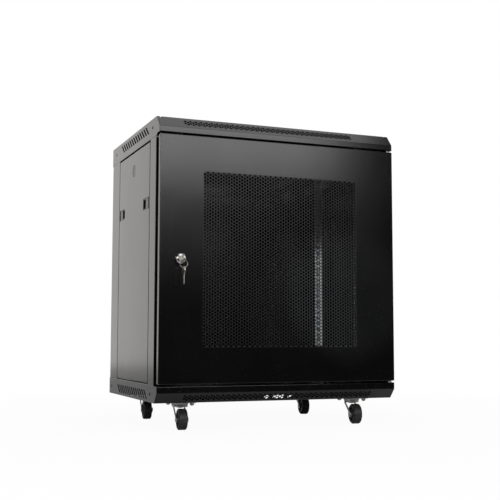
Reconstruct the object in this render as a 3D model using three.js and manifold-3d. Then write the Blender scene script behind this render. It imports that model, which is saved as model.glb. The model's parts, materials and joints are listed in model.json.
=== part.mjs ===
// Small floor-standing network cabinet for 19-inch equipment.
// Millimetres, +Z up, X to the right, front towards -Y. The origin is on the
// floor, in the middle of the footprint that the closed cabinet covers.
import * as THREE from 'three';
import { mergeVertices } from 'three/addons/utils/BufferGeometryUtils.js';
import Module from 'manifold-3d';

const wasm = await Module();
wasm.setup();

// ---------------------------------------------------------------- overall
const WIDTH = 600;
const DEPTH = 450;
const BODY_HEIGHT = 650;

// ------------------------------------------------------- sheets and gaps
const FRAME_SHEET = 1.5;
const PANEL_SHEET = 1.2;
const RAIL_SHEET = 2;
const TOUCH = 0.3;

// ---------------------------------------------------------- base and roof
const BASE_HEIGHT = 40;
const ROOF_HEIGHT = 45;
const ROOF_CHAMFER = { back: 22, drop: 26 };
const BASE_CHAMFER = { back: 20, rise: 22.4 };
const ROOF_BAND_BOTTOM = 40;
const BASE_BAND_TOP = 37.8;
const BAND_FLANGE = 21;
const SIDE_FLANGE = 50;
const BEAM_FLANGE = 12;
const ROOF_LIP = 13;
const HEM = { setback: 8, length: 24, slot: 29, bore: 12, spacing: 29.5, along: 13 };
const CORNER_RELIEF = { width: 4, depth: 3.5, inset: 5.5 };
const SLOT = { width: 6.6, lean: 24, height: 20, pitch: 19.4, centreY: -5 };
const ROOF_SLOTS = { plainEnds: 190, belowTop: 18.5 };
const BASE_SLOTS = { plainEnds: 170, aboveBottom: 16 };
const FRAME_SCREW = {
  radius: 4, behindFront: 55, roofFromRear: 43, baseFromRear: 25, roofDown: 21, baseUp: 18.5,
};
const CASTER_TAB = { width: 115, length: 92 };
const FAN = { radius: 55, offsetX: 120, behindFront: 175, slotWidth: 5, slotPitch: 11, slots: 9 };
const ROOF_ENTRY = { width: 300, length: 60 };
const FLOOR_ENTRY = { width: 300, length: 80 };
const ENTRY_FROM_REAR = 75;
const ENTRY_OVERLAP = 12;

// ------------------------------------------------------ posts and panels
const FRONT_SETBACK = 25;
const REAR_SETBACK = 4;
const FRONT_POST = 49;
const REAR_POST = 77;
const LEDGE = { inset: 14, length: 16 };
const STOP = { inset: 20, forward: 9, width: 16 };
const REAR_RETURN = 40;
const PANEL_PLAY = 2;
const PANEL_TOP_PLAY = 4.5;
const PANEL_BOTTOM_PLAY = 1.5;
const PANEL_DEPTH = 12;
const BLANK = { radius: 14, flange: 3, down: 45, play: 0.5 };

// ---------------------------------------------------------------- latches
const LATCH = {
  length: 44, height: 26.4, depth: 8.6, travel: 7, fromEdge: 5, down: 191,
  tongueHeight: 12, tongueThick: 2.5, recess: 20, recessDepth: 6.4, lip: 4, play: 0.4,
};

// ------------------------------------------------------- 19-inch mounting
const UNIT = 44.45;
const UNIT_HOLES = [6.35, 22.225, 38.1];
const RAIL = { clear: 450, holeSpan: 465.1, hole: 9.5, flange: 22, web: 34, end: 10, bottom: 48 };
const FRONT_RAIL_SETBACK = 35;
const REAR_RAIL_FROM_REAR = 165;
const BRACE = { height: 30, up: 70, down: 100, frontInset: 22, rearInset: 43, slot: 40, slotWidth: 7 };

// ------------------------------------------------------------------- door
const DOOR = { proud: 5, thick: 15, inset: 2, top: 4.5, bottom: 4.7, lip: 11 };
const STIFFENER = { inset: 83, width: 25, depth: 9, endGap: 16 };
const HINGE = { inset: 8, depth: 10.5, pin: 2.5, play: 0.4, reach: 11.5 };
const PIN_GUIDE = { height: 24, down: 15, lever: 22 };
const LOCK = { inset: 49, belowMiddle: 2, rim: 12.5, dome: 8.5, body: 9.2, bore: 6.3, plug: 6 };
const CAM = { length: 27, width: 16, thick: 2.5, behindStop: 1, hub: 5 };
const KEY = {
  bow: 10, thick: 2.2, blade: 8, bladeLength: 22, slotLength: 10, slotWidth: 4.4,
  slotOut: 5, shoulder: 1.5,
};
const RING = { radius: 8.6, wire: 0.7, slack: 0.3 };

// ---------------------------------------------------------------- casters
const CASTER = {
  inset: 78, fromEnd: 75.5, headroom: 15, trail: 25, toe: 7, wheel: 24, tread: 21,
  plate: 60, plateThick: 2.5,
  race: 19, raceHeight: 6.2, pin: 5, arm: 2.2, armPlay: 1, bridge: 3.2, boss: 8, axle: 3,
};

// ----------------------------------------------------------- derived frame
const HALF_W = WIDTH / 2;
const FRONT = -DEPTH / 2;
const REAR = DEPTH / 2;
const BASE = 2 * CASTER.wheel + CASTER.headroom;
const TOP = BASE + BODY_HEIGHT;
const BASE_TOP = BASE + BASE_HEIGHT;
const ROOF_BOTTOM = TOP - ROOF_HEIGHT;
const INNER_W = HALF_W - FRAME_SHEET - TOUCH;
const POST_FRONT = FRONT + FRONT_SETBACK;
const POST_REAR = REAR - REAR_SETBACK;
const CASTER_X = HALF_W - CASTER.inset;
const CASTER_Y = REAR - CASTER.fromEnd;
const ENTRY_Y = REAR - ENTRY_FROM_REAR;
const SCREW_FRONT_Y = FRONT + FRAME_SCREW.behindFront;
const PANEL_FRONT = POST_FRONT + FRONT_POST + PANEL_PLAY;
const PANEL_REAR = POST_REAR - REAR_POST - PANEL_PLAY;
const DOOR_FRONT = FRONT - DOOR.proud;
const DOOR_BACK = DOOR_FRONT + DOOR.thick;
const DOOR_TOP = TOP - ROOF_BAND_BOTTOM - DOOR.top;
const DOOR_BOTTOM = BASE + BASE_BAND_TOP + DOOR.bottom;
const DOOR_EDGE = HALF_W - DOOR.inset;
const HINGE_X = DOOR_EDGE - HINGE.inset;
const HINGE_Y = DOOR_FRONT + HINGE.depth;
const STOP_FRONT = POST_FRONT - STOP.forward;
const LOCK_X = -DOOR_EDGE + LOCK.inset;
const LOCK_Z = (DOOR_TOP + DOOR_BOTTOM) / 2 - LOCK.belowMiddle;
const LOCK_FACE = DOOR_FRONT - LOCK.dome - TOUCH;
const BOW_Y = LOCK_FACE - KEY.shoulder - KEY.bow;
const RING_Y = BOW_Y - KEY.slotOut;
const KEY_REACH = RING_Y - KEY.bow;
const RING_TOP = LOCK_Z - KEY.slotLength / 2 + RING.wire + RING.slack;
const RING_Z = RING_TOP - RING.radius;
const CENTRE_SHIFT = -(KEY_REACH + REAR) / 2;

// -------------------------------------------------------------- materials
const coat = () => new THREE.MeshStandardMaterial({ color: 0x1d1d1e, roughness: 0.45, metalness: 0.1 });
const zinc = () => new THREE.MeshStandardMaterial({ color: 0xb9c0c4, roughness: 0.35, metalness: 0.9 });
const chrome = () => new THREE.MeshStandardMaterial({ color: 0xdcdcda, roughness: 0.12, metalness: 1 });
const steel = () => new THREE.MeshStandardMaterial({ color: 0x9fa1a2, roughness: 0.3, metalness: 0.95 });
const plastic = () => new THREE.MeshStandardMaterial({ color: 0x171717, roughness: 0.5, metalness: 0 });
const tyre = () => new THREE.MeshStandardMaterial({ color: 0x121212, roughness: 0.6, metalness: 0 });

// ------------------------------------------------------- solids and sweeps
function solid(geometry) {
  const bare = geometry.clone();
  bare.deleteAttribute('normal');
  bare.deleteAttribute('uv');
  const merged = mergeVertices(bare, 1e-4);
  return new wasm.Manifold(new wasm.Mesh({
    numProp: 3,
    vertProperties: Float32Array.from(merged.attributes.position.array),
    triVerts: Uint32Array.from(merged.index.array),
  }));
}

function toGeometry(body) {
  const data = body.getMesh();
  const geometry = new THREE.BufferGeometry();
  geometry.setAttribute('position', new THREE.BufferAttribute(Float32Array.from(data.vertProperties), 3));
  geometry.setIndex(new THREE.BufferAttribute(Uint32Array.from(data.triVerts), 1));
  geometry.computeVertexNormals();
  return geometry;
}

function joined(bodies) {
  return bodies.reduce((whole, body) => whole.add(body));
}

function cut(body, tools) {
  return tools.reduce((rest, tool) => rest.subtract(tool), body);
}

function box(x0, x1, y0, y1, z0, z1) {
  const geometry = new THREE.BoxGeometry(Math.abs(x1 - x0), Math.abs(y1 - y0), Math.abs(z1 - z0));
  geometry.translate((x0 + x1) / 2, (y0 + y1) / 2, (z0 + z1) / 2);
  return solid(geometry);
}

function polygon(points) {
  return new THREE.Shape(points.map(([a, b]) => new THREE.Vector2(a, b)));
}

// An outline in the XY plane, raised from z0 to z1.
function prismZ(shape, z0, z1, segments = 12) {
  const geometry = new THREE.ExtrudeGeometry(shape, {
    depth: z1 - z0, bevelEnabled: false, curveSegments: segments,
  });
  geometry.translate(0, 0, z0);
  return solid(geometry);
}

// An outline in the YZ plane, carried from x0 to x1.
function prismX(shape, x0, x1, segments = 12) {
  const geometry = new THREE.ExtrudeGeometry(shape, {
    depth: x1 - x0, bevelEnabled: false, curveSegments: segments,
  });
  geometry.rotateX(Math.PI / 2);
  geometry.rotateZ(Math.PI / 2);
  geometry.translate(x0, 0, 0);
  return solid(geometry);
}

// An outline in the XZ plane, carried from y0 to y1.
function prismY(shape, y0, y1, segments = 12) {
  const geometry = new THREE.ExtrudeGeometry(shape, {
    depth: y1 - y0, bevelEnabled: false, curveSegments: segments,
  });
  geometry.rotateX(Math.PI / 2);
  geometry.translate(0, y1, 0);
  return solid(geometry);
}

// A profile of (radius, along) points turned round +Z.
function turned(points, segments = 24) {
  const profile = points.map(([radius, along]) => new THREE.Vector2(radius, along));
  const geometry = new THREE.LatheGeometry(profile, segments);
  geometry.rotateX(Math.PI / 2);
  return solid(geometry);
}

function rod(radius, length, segments = 16) {
  return turned([[0, 0], [radius, 0], [radius, length], [0, length]], segments);
}

function rodZ(radius, x, y, z0, z1, segments = 16) {
  return rod(radius, z1 - z0, segments).translate([x, y, z0]);
}

function rodY(radius, x, z, y0, y1, segments = 16) {
  return rod(radius, y1 - y0, segments).rotate([-90, 0, 0]).translate([x, y0, z]);
}

function rodX(radius, y, z, x0, x1, segments = 16) {
  return rod(radius, x1 - x0, segments).rotate([0, 90, 0]).translate([x0, y, z]);
}

// A bent sheet: the chain of its outer face, thickened to the left of its
// direction, with mitred corners.
function bentSheet(chain, sheet) {
  const normals = chain.slice(1).map(([a, b], i) => {
    const dx = a - chain[i][0];
    const dy = b - chain[i][1];
    const length = Math.hypot(dx, dy);
    return [-dy / length, dx / length];
  });
  const inner = chain.map(([a, b], i) => {
    const before = normals[Math.max(i - 1, 0)];
    const after = normals[Math.min(i, normals.length - 1)];
    const share = sheet / (1 + before[0] * after[0] + before[1] * after[1]);
    return [a + (before[0] + after[0]) * share, b + (before[1] + after[1]) * share];
  });
  return polygon([...chain, ...inner.reverse()]);
}

function mirrorX(body) {
  return body.mirror([1, 0, 0]);
}

// ------------------------------------------------------------ object tree
const cabinet = new THREE.Group();
const body = new THREE.Group();
body.position.y = CENTRE_SHIFT;
cabinet.add(body);

function place(name, shape, material, parent = body) {
  const mesh = new THREE.Mesh(toGeometry(shape), material);
  mesh.name = name;
  parent.add(mesh);
  return mesh;
}

function placePair(name, right, material) {
  place(`${name}_right`, right, material());
  place(`${name}_left`, mirrorX(right), material());
}

// ------------------------------------------------------------ base frame
// A slanted vent slot in a side plate: the lower end leans to the front.
function slantedSlots(plainEnds, centreZ) {
  const count = Math.floor((DEPTH - plainEnds) / SLOT.pitch);
  const cutters = [];
  const half = SLOT.height / 2;
  const lean = SLOT.lean / 2;
  const across = SLOT.width * Math.hypot(SLOT.lean, SLOT.height) / SLOT.height / 2;
  for (let i = 0; i < count; i += 1) {
    const y = SLOT.centreY + (i - (count - 1) / 2) * SLOT.pitch;
    const outline = polygon([
      [y - lean - across, centreZ - half], [y - lean + across, centreZ - half],
      [y + lean + across, centreZ + half], [y + lean - across, centreZ + half],
    ]);
    cutters.push(prismX(outline, INNER_W - 1, HALF_W + 1));
  }
  return cutters;
}

function baseSide() {
  const wall = prismX(polygon([
    [REAR, BASE], [REAR, BASE_TOP], [POST_FRONT + TOUCH, BASE_TOP],
    [POST_FRONT - 1, BASE + BASE_BAND_TOP], [FRONT, BASE + BASE_BAND_TOP],
    [FRONT, BASE + BASE_CHAMFER.rise], [FRONT + BASE_CHAMFER.back, BASE],
  ]), HALF_W - FRAME_SHEET, HALF_W);
  const inner = HALF_W - FRAME_SHEET / 2;
  const flange = box(HALF_W - SIDE_FLANGE, inner, POST_FRONT + 2, REAR - BEAM_FLANGE - TOUCH,
    BASE_TOP - FRAME_SHEET, BASE_TOP);
  const tabs = [-1, 1].map((end) => box(HALF_W - CASTER_TAB.width, inner,
    end * CASTER_Y - CASTER_TAB.length / 2, end * CASTER_Y + CASTER_TAB.length / 2,
    BASE, BASE + FRAME_SHEET));
  const screws = [SCREW_FRONT_Y, REAR - FRAME_SCREW.baseFromRear].map(
    (y) => rodX(FRAME_SCREW.radius, y, BASE + FRAME_SCREW.baseUp, INNER_W - 1, HALF_W + 1, 12));
  return cut(joined([wall, flange, ...tabs]),
    [...slantedSlots(BASE_SLOTS.plainEnds, BASE + BASE_SLOTS.aboveBottom), ...screws]);
}

// The front sheet of the base: top flange, band, chamfer and a folded hem
// that backs the chamfer.
function baseFascia() {
  const { back, rise } = BASE_CHAMFER;
  const slope = Math.hypot(back, rise);
  const hemStart = [FRONT + back + HEM.setback, BASE];
  const hemEnd = [hemStart[0] - back / slope * HEM.length, BASE + rise / slope * HEM.length];
  const sheet = prismX(bentSheet([
    [FRONT + BAND_FLANGE, BASE + BASE_BAND_TOP], [FRONT, BASE + BASE_BAND_TOP],
    [FRONT, BASE + rise], [FRONT + back, BASE], hemStart, hemEnd,
  ], FRAME_SHEET), -INNER_W, INNER_W);
  const holeY = hemStart[0] - back / slope * HEM.along;
  const holeZ = BASE + rise / slope * HEM.along;
  const tilt = THREE.MathUtils.radToDeg(Math.atan2(back, rise));
  const through = (shape) => shape.rotate([-tilt, 0, 0]).translate([0, holeY, holeZ]);
  const depth = 2.4;
  const tools = [
    through(box(-HEM.slot / 2, HEM.slot / 2, -depth, depth, -HEM.bore / 2, HEM.bore / 2)),
    through(rodY(HEM.bore / 2, -HEM.spacing, 0, -depth, depth)),
    through(rodY(HEM.bore / 2, HEM.spacing, 0, -depth, depth)),
    rodZ(HINGE.pin + HINGE.play, HINGE_X, HINGE_Y, BASE_TOP - 6, BASE_TOP + 2),
  ];
  return cut(sheet, tools);
}

function rearBeam(z0, z1) {
  return prismX(bentSheet([
    [REAR - BEAM_FLANGE, z0], [REAR, z0], [REAR, z1], [REAR - BEAM_FLANGE, z1],
  ], FRAME_SHEET), -INNER_W, INNER_W);
}

function baseFloor() {
  const top = BASE_TOP - FRAME_SHEET - TOUCH;
  const plate = box(-INNER_W, INNER_W, FRONT + BAND_FLANGE + 4, REAR - FRAME_SHEET - TOUCH,
    top - FRAME_SHEET, top);
  const entry = box(-FLOOR_ENTRY.width / 2, FLOOR_ENTRY.width / 2,
    ENTRY_Y - FLOOR_ENTRY.length / 2, ENTRY_Y + FLOOR_ENTRY.length / 2,
    top - 10, top + 10);
  return plate.subtract(entry);
}

placePair('base_side', baseSide(), coat);
place('base_front_fascia', baseFascia(), coat());
place('base_rear_beam', rearBeam(BASE, BASE_TOP), coat());
place('base_floor', baseFloor(), coat());

// ------------------------------------------------------------ roof frame
function roofSide() {
  const bandBottom = TOP - ROOF_BAND_BOTTOM;
  const rise = bandBottom - ROOF_BOTTOM;
  const wall = prismX(polygon([
    [REAR, ROOF_BOTTOM], [REAR, TOP], [FRONT + ROOF_CHAMFER.back, TOP],
    [FRONT, TOP - ROOF_CHAMFER.drop], [FRONT, bandBottom],
    [POST_FRONT - rise - 3, bandBottom], [POST_FRONT - 3, ROOF_BOTTOM],
  ]), HALF_W - FRAME_SHEET, HALF_W);
  const flange = box(HALF_W - SIDE_FLANGE, HALF_W - FRAME_SHEET / 2, POST_FRONT + 2,
    REAR - BEAM_FLANGE - TOUCH, ROOF_BOTTOM, ROOF_BOTTOM + FRAME_SHEET);
  const screws = [SCREW_FRONT_Y, REAR - FRAME_SCREW.roofFromRear].map(
    (y) => rodX(FRAME_SCREW.radius, y, TOP - FRAME_SCREW.roofDown, INNER_W - 1, HALF_W + 1, 12));
  return cut(wall.add(flange), [...slantedSlots(ROOF_SLOTS.plainEnds, TOP - ROOF_SLOTS.belowTop), ...screws]);
}

function roofFascia() {
  const bandBottom = TOP - ROOF_BAND_BOTTOM;
  const crest = FRONT + ROOF_CHAMFER.back;
  const sheet = prismX(bentSheet([
    [crest + ROOF_LIP, TOP], [crest, TOP], [FRONT, TOP - ROOF_CHAMFER.drop],
    [FRONT, bandBottom], [FRONT + BAND_FLANGE, bandBottom],
  ], FRAME_SHEET), -INNER_W, INNER_W);
  const outer = HALF_W - CORNER_RELIEF.inset;
  const reliefs = [-1, 1].map((side) => box(side * (outer - CORNER_RELIEF.width), side * outer,
    crest - 6, crest + ROOF_LIP + 1, TOP - CORNER_RELIEF.depth, TOP + 1));
  const pinHole = rodZ(HINGE.pin + HINGE.play, HINGE_X, HINGE_Y, bandBottom - 2, bandBottom + 4);
  return cut(sheet, [...reliefs, pinHole]);
}

// The fan opening: straight slots that together fill a circle.
function fanSlots(x) {
  const y = FRONT + FAN.behindFront;
  const cutters = [];
  for (let i = 0; i < FAN.slots; i += 1) {
    const off = (i - (FAN.slots - 1) / 2) * FAN.slotPitch;
    const half = Math.sqrt(FAN.radius ** 2 - off ** 2);
    cutters.push(box(x - half, x + half, y + off - FAN.slotWidth / 2,
      y + off + FAN.slotWidth / 2, TOP - 10, TOP + 5));
  }
  return cutters;
}

function roofPanel() {
  const front = FRONT + ROOF_CHAMFER.back + ROOF_LIP + TOUCH;
  const plate = prismY(bentSheet([
    [INNER_W, TOP - 6], [INNER_W, TOP], [-INNER_W, TOP], [-INNER_W, TOP - 6],
  ], FRAME_SHEET), front, REAR - BEAM_FLANGE - TOUCH);
  const entry = box(-ROOF_ENTRY.width / 2, ROOF_ENTRY.width / 2,
    ENTRY_Y - ROOF_ENTRY.length / 2, ENTRY_Y + ROOF_ENTRY.length / 2, TOP - 10, TOP + 5);
  return cut(plate, [...fanSlots(-FAN.offsetX), ...fanSlots(FAN.offsetX), entry]);
}

function entryCover() {
  const top = TOP - FRAME_SHEET - TOUCH;
  const halfX = ROOF_ENTRY.width / 2 + ENTRY_OVERLAP;
  const halfY = ROOF_ENTRY.length / 2 + ENTRY_OVERLAP;
  return box(-halfX, halfX, ENTRY_Y - halfY, ENTRY_Y + halfY, top - PANEL_SHEET, top);
}

placePair('roof_side', roofSide(), coat);
place('roof_front_fascia', roofFascia(), coat());
place('roof_rear_beam', rearBeam(ROOF_BOTTOM, TOP), coat());
place('roof_panel', roofPanel(), coat());
place('roof_cable_cover', entryCover(), coat());

// ---------------------------------------------------------- corner posts
const LATCH_Z = TOP - LATCH.down;
const POST_Z0 = BASE_TOP + TOUCH;
const POST_Z1 = ROOF_BOTTOM - TOUCH;

function latchSlot(wallY, toRear) {
  const y0 = toRear ? wallY : wallY - FRAME_SHEET;
  const x = HALF_W - LATCH.depth;
  return box(x - 1, x + LATCH.tongueThick + 1, y0 - 1, y0 + FRAME_SHEET + 1,
    LATCH_Z - LATCH.tongueHeight / 2 - 1, LATCH_Z + LATCH.tongueHeight / 2 + 1);
}

function frontPost() {
  const wallY = POST_FRONT + FRONT_POST;
  const ledgeX = HALF_W - LEDGE.inset;
  const stopX = HALF_W - STOP.inset;
  const sheet = prismZ(bentSheet([
    [stopX - STOP.width, STOP_FRONT], [stopX, STOP_FRONT], [stopX, POST_FRONT],
    [HALF_W, POST_FRONT], [HALF_W, wallY], [ledgeX, wallY], [ledgeX, wallY + LEDGE.length],
  ], FRAME_SHEET), POST_Z0, POST_Z1);
  return sheet.subtract(latchSlot(wallY, false));
}

function rearPost() {
  const wallY = POST_REAR - REAR_POST;
  const ledgeX = HALF_W - LEDGE.inset;
  const sheet = prismZ(bentSheet([
    [ledgeX, wallY - LEDGE.length], [ledgeX, wallY], [HALF_W, wallY],
    [HALF_W, POST_REAR], [HALF_W - REAR_RETURN, POST_REAR],
  ], FRAME_SHEET), POST_Z0, POST_Z1);
  return sheet.subtract(latchSlot(wallY, true));
}

placePair('post_front', frontPost(), coat);
placePair('post_rear', rearPost(), coat);
const REAR_PANEL_X = HALF_W - 6;
place('rear_panel', box(-REAR_PANEL_X, REAR_PANEL_X, POST_REAR + TOUCH,
  POST_REAR + TOUCH + PANEL_SHEET, POST_Z0, POST_Z1), coat());

// --------------------------------------------------- braces and 19-inch rails
const RAIL_OUT = RAIL.clear / 2 + RAIL.flange;
const FRONT_RAIL_Y = POST_FRONT + FRONT_RAIL_SETBACK;
const REAR_RAIL_Y = REAR - REAR_RAIL_FROM_REAR;
const RAIL_Z0 = BASE + RAIL.bottom;
const UNITS = Math.floor((ROOF_BOTTOM - RAIL_Z0 - 2 * RAIL.end) / UNIT);

function brace(z0) {
  const inner = RAIL_OUT + TOUCH;
  const outer = HALF_W - LEDGE.inset - FRAME_SHEET - TOUCH;
  const front = POST_FRONT + BRACE.frontInset;
  const channel = prismY(bentSheet([
    [outer, z0 + BRACE.height], [inner, z0 + BRACE.height], [inner, z0], [outer, z0],
  ], RAIL_SHEET), front, POST_REAR - BRACE.rearInset);
  const slots = [FRONT_RAIL_Y, REAR_RAIL_Y].map((railY) => {
    const y = Math.max(railY + RAIL.web / 2, front + BRACE.slot);
    const z = z0 + BRACE.height / 2;
    return box(inner - 1, inner + RAIL_SHEET + 1, y - BRACE.slot / 2, y + BRACE.slot / 2,
      z - BRACE.slotWidth / 2, z + BRACE.slotWidth / 2);
  });
  return cut(channel, slots);
}

function rail(frontY) {
  const z1 = RAIL_Z0 + UNITS * UNIT + 2 * RAIL.end;
  const clearX = RAIL.clear / 2;
  const profile = prismZ(bentSheet([
    [clearX, frontY], [RAIL_OUT, frontY], [RAIL_OUT, frontY + RAIL.web],
  ], RAIL_SHEET), RAIL_Z0, z1);
  const holeX = RAIL.holeSpan / 2;
  const half = RAIL.hole / 2;
  const cutters = [];
  for (let unit = 0; unit < UNITS; unit += 1) {
    for (const up of UNIT_HOLES) {
      const z = RAIL_Z0 + RAIL.end + unit * UNIT + up;
      cutters.push(box(holeX - half, holeX + half, frontY - 1, frontY + RAIL_SHEET + 1, z - half, z + half));
    }
  }
  return cut(profile, cutters);
}

placePair('brace_lower', brace(BASE + BRACE.up), coat);
placePair('brace_upper', brace(TOP - BRACE.down), coat);
placePair('rail_front', rail(FRONT_RAIL_Y), zinc);
placePair('rail_rear', rail(REAR_RAIL_Y), zinc);

// ------------------------------------------------------------------- door
function doorSkin() {
  const outer = box(-DOOR_EDGE, DOOR_EDGE, DOOR_FRONT, DOOR_BACK, DOOR_BOTTOM, DOOR_TOP);
  const x = DOOR_EDGE - PANEL_SHEET;
  const hollow = box(-x, x, DOOR_FRONT + PANEL_SHEET, DOOR_BACK - PANEL_SHEET,
    DOOR_BOTTOM + PANEL_SHEET, DOOR_TOP - PANEL_SHEET);
  const lipX = DOOR_EDGE - DOOR.lip;
  const back = box(-lipX, lipX, DOOR_BACK - PANEL_SHEET - 1, DOOR_BACK + 1,
    DOOR_BOTTOM + DOOR.lip, DOOR_TOP - DOOR.lip);
  const pins = rodZ(HINGE.pin + HINGE.play, HINGE_X, HINGE_Y, DOOR_BOTTOM - 2, DOOR_TOP + 2);
  const barrel = rodY(LOCK.body + TOUCH, LOCK_X, LOCK_Z, DOOR_FRONT - 1, DOOR_FRONT + 4, 24);
  return cut(outer, [hollow, back, pins, barrel]);
}

function doorStiffener() {
  const front = DOOR_FRONT + PANEL_SHEET + TOUCH;
  const x0 = DOOR_EDGE - STIFFENER.inset - STIFFENER.width / 2;
  const x1 = x0 + STIFFENER.width;
  return prismZ(bentSheet([
    [x1, front], [x1, front + STIFFENER.depth], [x0, front + STIFFENER.depth], [x0, front],
  ], PANEL_SHEET), DOOR_BOTTOM + STIFFENER.endGap, DOOR_TOP - STIFFENER.endGap);
}

// Guide for the sprung top pin: a plate with two bored tabs.
const GUIDE_TOP = DOOR_TOP - PIN_GUIDE.down;
const GUIDE_BOTTOM = GUIDE_TOP - PIN_GUIDE.height;

function pinGuide() {
  const front = DOOR_FRONT + PANEL_SHEET + TOUCH;
  const sheet = prismX(bentSheet([
    [DOOR_BACK - PANEL_SHEET - TOUCH, GUIDE_TOP], [front, GUIDE_TOP], [front, GUIDE_BOTTOM],
    [DOOR_BACK - PANEL_SHEET - TOUCH, GUIDE_BOTTOM],
  ], PANEL_SHEET), HINGE_X - 7, HINGE_X + HINGE.inset - PANEL_SHEET - TOUCH);
  return sheet.subtract(rodZ(HINGE.pin + HINGE.play, HINGE_X, HINGE_Y, GUIDE_BOTTOM - 2, GUIDE_TOP + 2));
}

function topPin() {
  const lever = GUIDE_TOP - PANEL_SHEET - HINGE.pin - 6;
  const pin = rodZ(HINGE.pin, HINGE_X, HINGE_Y, GUIDE_BOTTOM - 5, DOOR_TOP + HINGE.reach);
  const arm = rodX(HINGE.pin - 0.5, HINGE_Y, lever, HINGE_X - PIN_GUIDE.lever, HINGE_X);
  return pin.add(arm);
}

function bottomPin() {
  const seat = BASE + BASE_BAND_TOP + TOUCH;
  return turned([
    [0, seat - 8], [HINGE.pin, seat - 8], [HINGE.pin, seat], [2 * HINGE.pin, seat],
    [2 * HINGE.pin, DOOR_BOTTOM - TOUCH], [HINGE.pin, DOOR_BOTTOM - TOUCH],
    [HINGE.pin, DOOR_BOTTOM + 10], [0, DOOR_BOTTOM + 10],
  ], 16).translate([HINGE_X, HINGE_Y, 0]);
}

const stiffener = doorStiffener();
place('door_skin', doorSkin(), coat());
place('door_stiffener_right', stiffener, coat());
place('door_stiffener_left', mirrorX(stiffener), coat());
place('hinge_pin_guide', pinGuide(), coat());
place('hinge_pin_top', topPin(), zinc());
place('hinge_pin_bottom', bottomPin(), zinc());

// ------------------------------------------------------------ lock and keys
const CAM_FRONT = STOP_FRONT + FRAME_SHEET + CAM.behindStop;
const CAM_BACK = CAM_FRONT + CAM.thick;
const PLUG_SHOULDER = CAM_FRONT - TOUCH;

function lockBarrel() {
  const arc = [];
  const steps = 4;
  for (let i = 0; i <= steps; i += 1) {
    const turn = i / steps * Math.PI / 2;
    const radius = LOCK.bore + 1.5 + (LOCK.rim - LOCK.bore - 1.5) * Math.cos(turn);
    arc.push([radius, 1.5 + (LOCK.dome - 1.5) * Math.sin(turn)]);
  }
  const back = -(PLUG_SHOULDER - DOOR_FRONT - 1);
  const profile = [
    [LOCK.bore, back], [LOCK.body, back], [LOCK.body, TOUCH], [LOCK.rim, TOUCH],
    ...arc, [LOCK.bore, LOCK.dome], [LOCK.bore, back],
  ];
  return turned(profile, 24).rotate([90, 0, 0]).translate([LOCK_X, DOOR_FRONT, LOCK_Z]);
}

function lockPlug() {
  const front = rodY(LOCK.plug, LOCK_X, LOCK_Z, LOCK_FACE, PLUG_SHOULDER, 24);
  const tail = rodY(CAM.hub, LOCK_X, LOCK_Z, PLUG_SHOULDER - 1, CAM_BACK + 1, 24);
  const halfX = KEY.thick / 2 + TOUCH;
  const halfZ = KEY.blade / 2 + TOUCH;
  const keyway = box(LOCK_X - halfX, LOCK_X + halfX, LOCK_FACE - 1,
    LOCK_FACE + KEY.bladeLength, LOCK_Z - halfZ, LOCK_Z + halfZ);
  return front.add(tail).subtract(keyway);
}

function lockCam() {
  const shape = new THREE.Shape();
  const half = CAM.width / 2;
  shape.absarc(LOCK_X, LOCK_Z, half, 0, Math.PI, false);
  shape.lineTo(LOCK_X - half, LOCK_Z - CAM.length + 2);
  shape.lineTo(LOCK_X - half + 2, LOCK_Z - CAM.length);
  shape.lineTo(LOCK_X + half - 2, LOCK_Z - CAM.length);
  shape.lineTo(LOCK_X + half, LOCK_Z - CAM.length + 2);
  return prismY(shape, CAM_FRONT, CAM_BACK)
    .subtract(rodY(CAM.hub + TOUCH, LOCK_X, LOCK_Z, CAM_FRONT - 1, CAM_BACK + 1, 24));
}

// A key lying along +Y from the centre of its round bow at the origin, flat
// in the YZ plane, with its ring slot on the far side of the bow.
function keySolid() {
  const bow = rodX(KEY.bow, 0, 0, -KEY.thick / 2, KEY.thick / 2, 28);
  const half = KEY.blade / 2;
  const start = KEY.bow - 2;
  const end = KEY.bow + KEY.bladeLength;
  const blade = polygon([
    [start, -half], [end - 3, -half], [end, 0], [end - 2, half],
    [end - 5, half - 1.2], [end - 8, half], [end - 11, half - 1.6], [end - 14, half], [start, half],
  ]);
  const slot = box(-KEY.thick, KEY.thick, -KEY.slotOut - KEY.slotWidth / 2,
    -KEY.slotOut + KEY.slotWidth / 2, -KEY.slotLength / 2, KEY.slotLength / 2);
  return bow.add(prismX(blade, -KEY.thick / 2, KEY.thick / 2)).subtract(slot);
}

function keyRing() {
  const wire = [];
  const sides = 6;
  for (let i = 0; i <= sides; i += 1) {
    const turn = i / sides * 2 * Math.PI;
    wire.push([RING.radius + RING.wire * Math.cos(turn), RING.wire * Math.sin(turn)]);
  }
  return turned(wire, 20).rotate([90, 0, 0]).translate([LOCK_X, RING_Y, RING_Z]);
}

const RING_BOTTOM = RING_Z - RING.radius;
const SPARE_SLOT_Z = RING_BOTTOM - (KEY.slotWidth / 2 - RING.wire - RING.slack);
place('lock_barrel', lockBarrel(), chrome());
place('lock_plug', lockPlug(), steel());
place('lock_cam', lockCam(), zinc());
place('lock_key', keySolid().translate([LOCK_X, BOW_Y, LOCK_Z]), steel());
place('key_ring', keyRing(), steel());
place('spare_key', keySolid().rotate([-90, 0, 0])
  .translate([LOCK_X, RING_Y, SPARE_SLOT_Z - KEY.slotOut]), steel());

// ------------------------------------------------------------ side panels
const PANEL_Z0 = BASE_TOP + PANEL_BOTTOM_PLAY;
const PANEL_Z1 = ROOF_BOTTOM - PANEL_TOP_PLAY;
const WINDOW = LATCH.length + LATCH.travel + 2 * LATCH.play;
const BLANK_Z = PANEL_Z1 - BLANK.down;
const BLANK_Y = (PANEL_FRONT + PANEL_REAR) / 2;

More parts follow.
